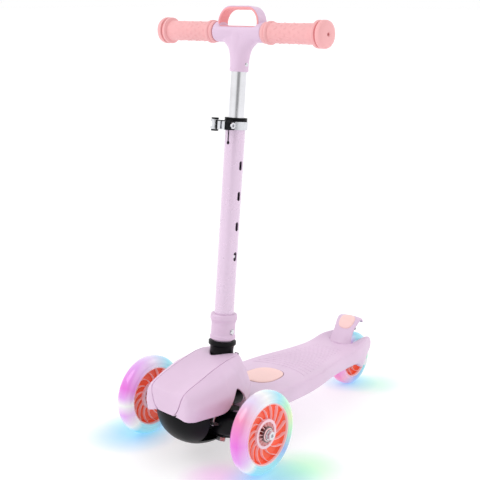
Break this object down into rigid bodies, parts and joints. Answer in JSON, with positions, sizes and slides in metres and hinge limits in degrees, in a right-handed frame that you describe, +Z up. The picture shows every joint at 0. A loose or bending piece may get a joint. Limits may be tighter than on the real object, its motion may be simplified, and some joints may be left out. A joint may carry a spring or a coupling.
{
  "type": "kick scooter",
  "caption": "Child's lean-to-steer kick scooter: telescopic T-bar with carry loop, leaf-spring clamp, light-up front wheels and rear foot brake.",
  "frame": {"origin": "on the ground, under the middle of the scooter's bounding box", "axes": "+Z up, nose and front wheels towards -Y, rear wheel towards +Y, +X to the side with the height buttons"},
  "size_m": [0.298, 0.489, 0.6328],
  "materials": {
    "lilac_plastic": "moulded, fine satin grain",
    "lilac_paint": "powder coat, semi gloss",
    "pink_rubber": "soft, matt",
    "coral_liner": "soft overmould",
    "peach_rubber": "soft, fine grain",
    "glow_urethane": "clear cast urethane, lit from inside",
    "coral_plastic": "moulded",
    "light_ring": "frosted, lights inside",
    "black_plastic": "glass-filled nylon",
    "black_rubber": "matt",
    "chrome_tube": "polished",
    "silver_alloy": "satin",
    "bright_steel": "polished",
    "zinc_steel": "zinc plated",
    "spring_steel": "drawn"
  },
  "bodies": {
    "frame": {"deck_shell": "lilac_plastic", "deck_pad": "peach_rubber", "chassis_spine": "black_plastic", "deck_screws": "zinc_steel", "steering_carrier": "black_plastic", "kingpins": "zinc_steel", "centring_bushes": "black_rubber", "belly_pan": "black_plastic", "bonnet": "lilac_plastic", "linkage_cover": "black_plastic", "stem_socket": "black_plastic", "stem_spigot": "zinc_steel", "outer_tube": "lilac_paint", "lower_collar": "lilac_plastic", "collar_clip": "spring_steel", "tube_guide": "black_plastic", "clamp_band": "silver_alloy", "clamp_bolt": "bright_steel", "clamp_pad": "black_plastic", "cam_washer": "black_plastic", "lever_barrel": "silver_alloy", "rear_axle": "bright_steel", "rear_spacers": "zinc_steel", "brake_pin": "zinc_steel", "brake_spring": "spring_steel"},
    "right_knuckle": {"knuckle_right": "black_plastic", "axle_bolt_right": "bright_steel", "hub_spacers_right": "zinc_steel"},
    "left_knuckle": {"knuckle_left": "black_plastic", "axle_bolt_left": "bright_steel", "hub_spacers_left": "zinc_steel"},
    "tie_rod": {"tie_rod": "zinc_steel", "tie_pins": "zinc_steel"},
    "right_wheel": {"wheel_right_tyre": "glow_urethane", "wheel_right_core": "coral_plastic", "wheel_right_light_ring": "light_ring", "wheel_right_bearings": "zinc_steel"},
    "left_wheel": {"wheel_left_tyre": "glow_urethane", "wheel_left_core": "coral_plastic", "wheel_left_light_ring": "light_ring", "wheel_left_bearings": "zinc_steel"},
    "rear_wheel": {"wheel_rear_tyre": "glow_urethane", "wheel_rear_core": "coral_plastic", "wheel_rear_bearings": "zinc_steel"},
    "lever": {"clamp_lever": "silver_alloy", "lever_caps": "black_plastic"},
    "t_bar": {"inner_tube": "chrome_tube", "inner_tube_plug": "black_plastic", "bar_clips": "spring_steel", "t_bar_body": "lilac_plastic", "loop_liner": "coral_liner", "handlebar_tube": "zinc_steel", "grip_right": "pink_rubber", "grip_left": "pink_rubber"},
    "collar_button": {"collar_button": "bright_steel"},
    "height_button": {"height_button": "bright_steel"},
    "bar_button": {"bar_button": "bright_steel"},
    "brake": {"brake_fender": "lilac_plastic", "brake_pad": "peach_rubber", "brake_shoe": "black_rubber"}
  },
  "joints": [
    {"name": "steer_right", "type": "hinge", "parent": "frame", "child": "right_knuckle", "pos_m": [0.042, -0.1686, 0.06], "axis": [0, 0.342, 0.9397], "range_deg": [-18, 18], "stiffness_Nm_per_rad": 8},
    {"name": "steer_left", "type": "hinge", "parent": "frame", "child": "left_knuckle", "pos_m": [-0.042, -0.1686, 0.06], "axis": [0, 0.342, 0.9397], "range_deg": [-18, 18], "stiffness_Nm_per_rad": 8},
    {"name": "tie_link", "type": "hinge", "parent": "right_knuckle", "child": "tie_rod", "pos_m": [0.042, -0.19488, 0.06382], "axis": [0, 0.342, 0.9397], "range_deg": [-18, 18]},
    {"name": "spin_right", "type": "hinge", "parent": "right_knuckle", "child": "right_wheel", "pos_m": [0.11, -0.1686, 0.06], "axis": [1, 0, 0], "continuous": true},
    {"name": "spin_left", "type": "hinge", "parent": "left_knuckle", "child": "left_wheel", "pos_m": [-0.11, -0.1686, 0.06], "axis": [1, 0, 0], "continuous": true},
    {"name": "spin_rear", "type": "hinge", "parent": "frame", "child": "rear_wheel", "pos_m": [0, 0.1994, 0.045], "axis": [1, 0, 0], "continuous": true},
    {"name": "height", "type": "slide", "parent": "frame", "child": "t_bar", "axis": [0, 0.0958, 0.9954], "range_m": [0, 0.13]},
    {"name": "lever_open", "type": "hinge", "parent": "frame", "child": "lever", "pos_m": [-0.0185, -0.11949, 0.47199], "axis": [0, 0.0958, 0.9954], "range_deg": [0, 140]},
    {"name": "brake_press", "type": "hinge", "parent": "frame", "child": "brake", "pos_m": [0, 0.1564, 0.071], "axis": [-1, 0, 0], "range_deg": [0, 5], "stiffness_Nm_per_rad": 4, "springref_deg": -6.88},
    {"name": "collar_press", "type": "slide", "parent": "frame", "child": "collar_button", "axis": [-1, 0, 0], "range_m": [0, 0.003], "stiffness_N_per_m": 500, "springref_m": -0.002},
    {"name": "height_press", "type": "slide", "parent": "t_bar", "child": "height_button", "axis": [-1, 0, 0], "range_m": [0, 0.003], "stiffness_N_per_m": 500, "springref_m": -0.002},
    {"name": "bar_press", "type": "slide", "parent": "t_bar", "child": "bar_button", "axis": [-1, 0, 0], "range_m": [0, 0.003], "stiffness_N_per_m": 500, "springref_m": -0.002}
  ],
  "couplings": [
    {"joint": "steer_left", "follows": "steer_right", "ratio": 1},
    {"joint": "tie_link", "follows": "steer_right", "ratio": -1}
  ]
}
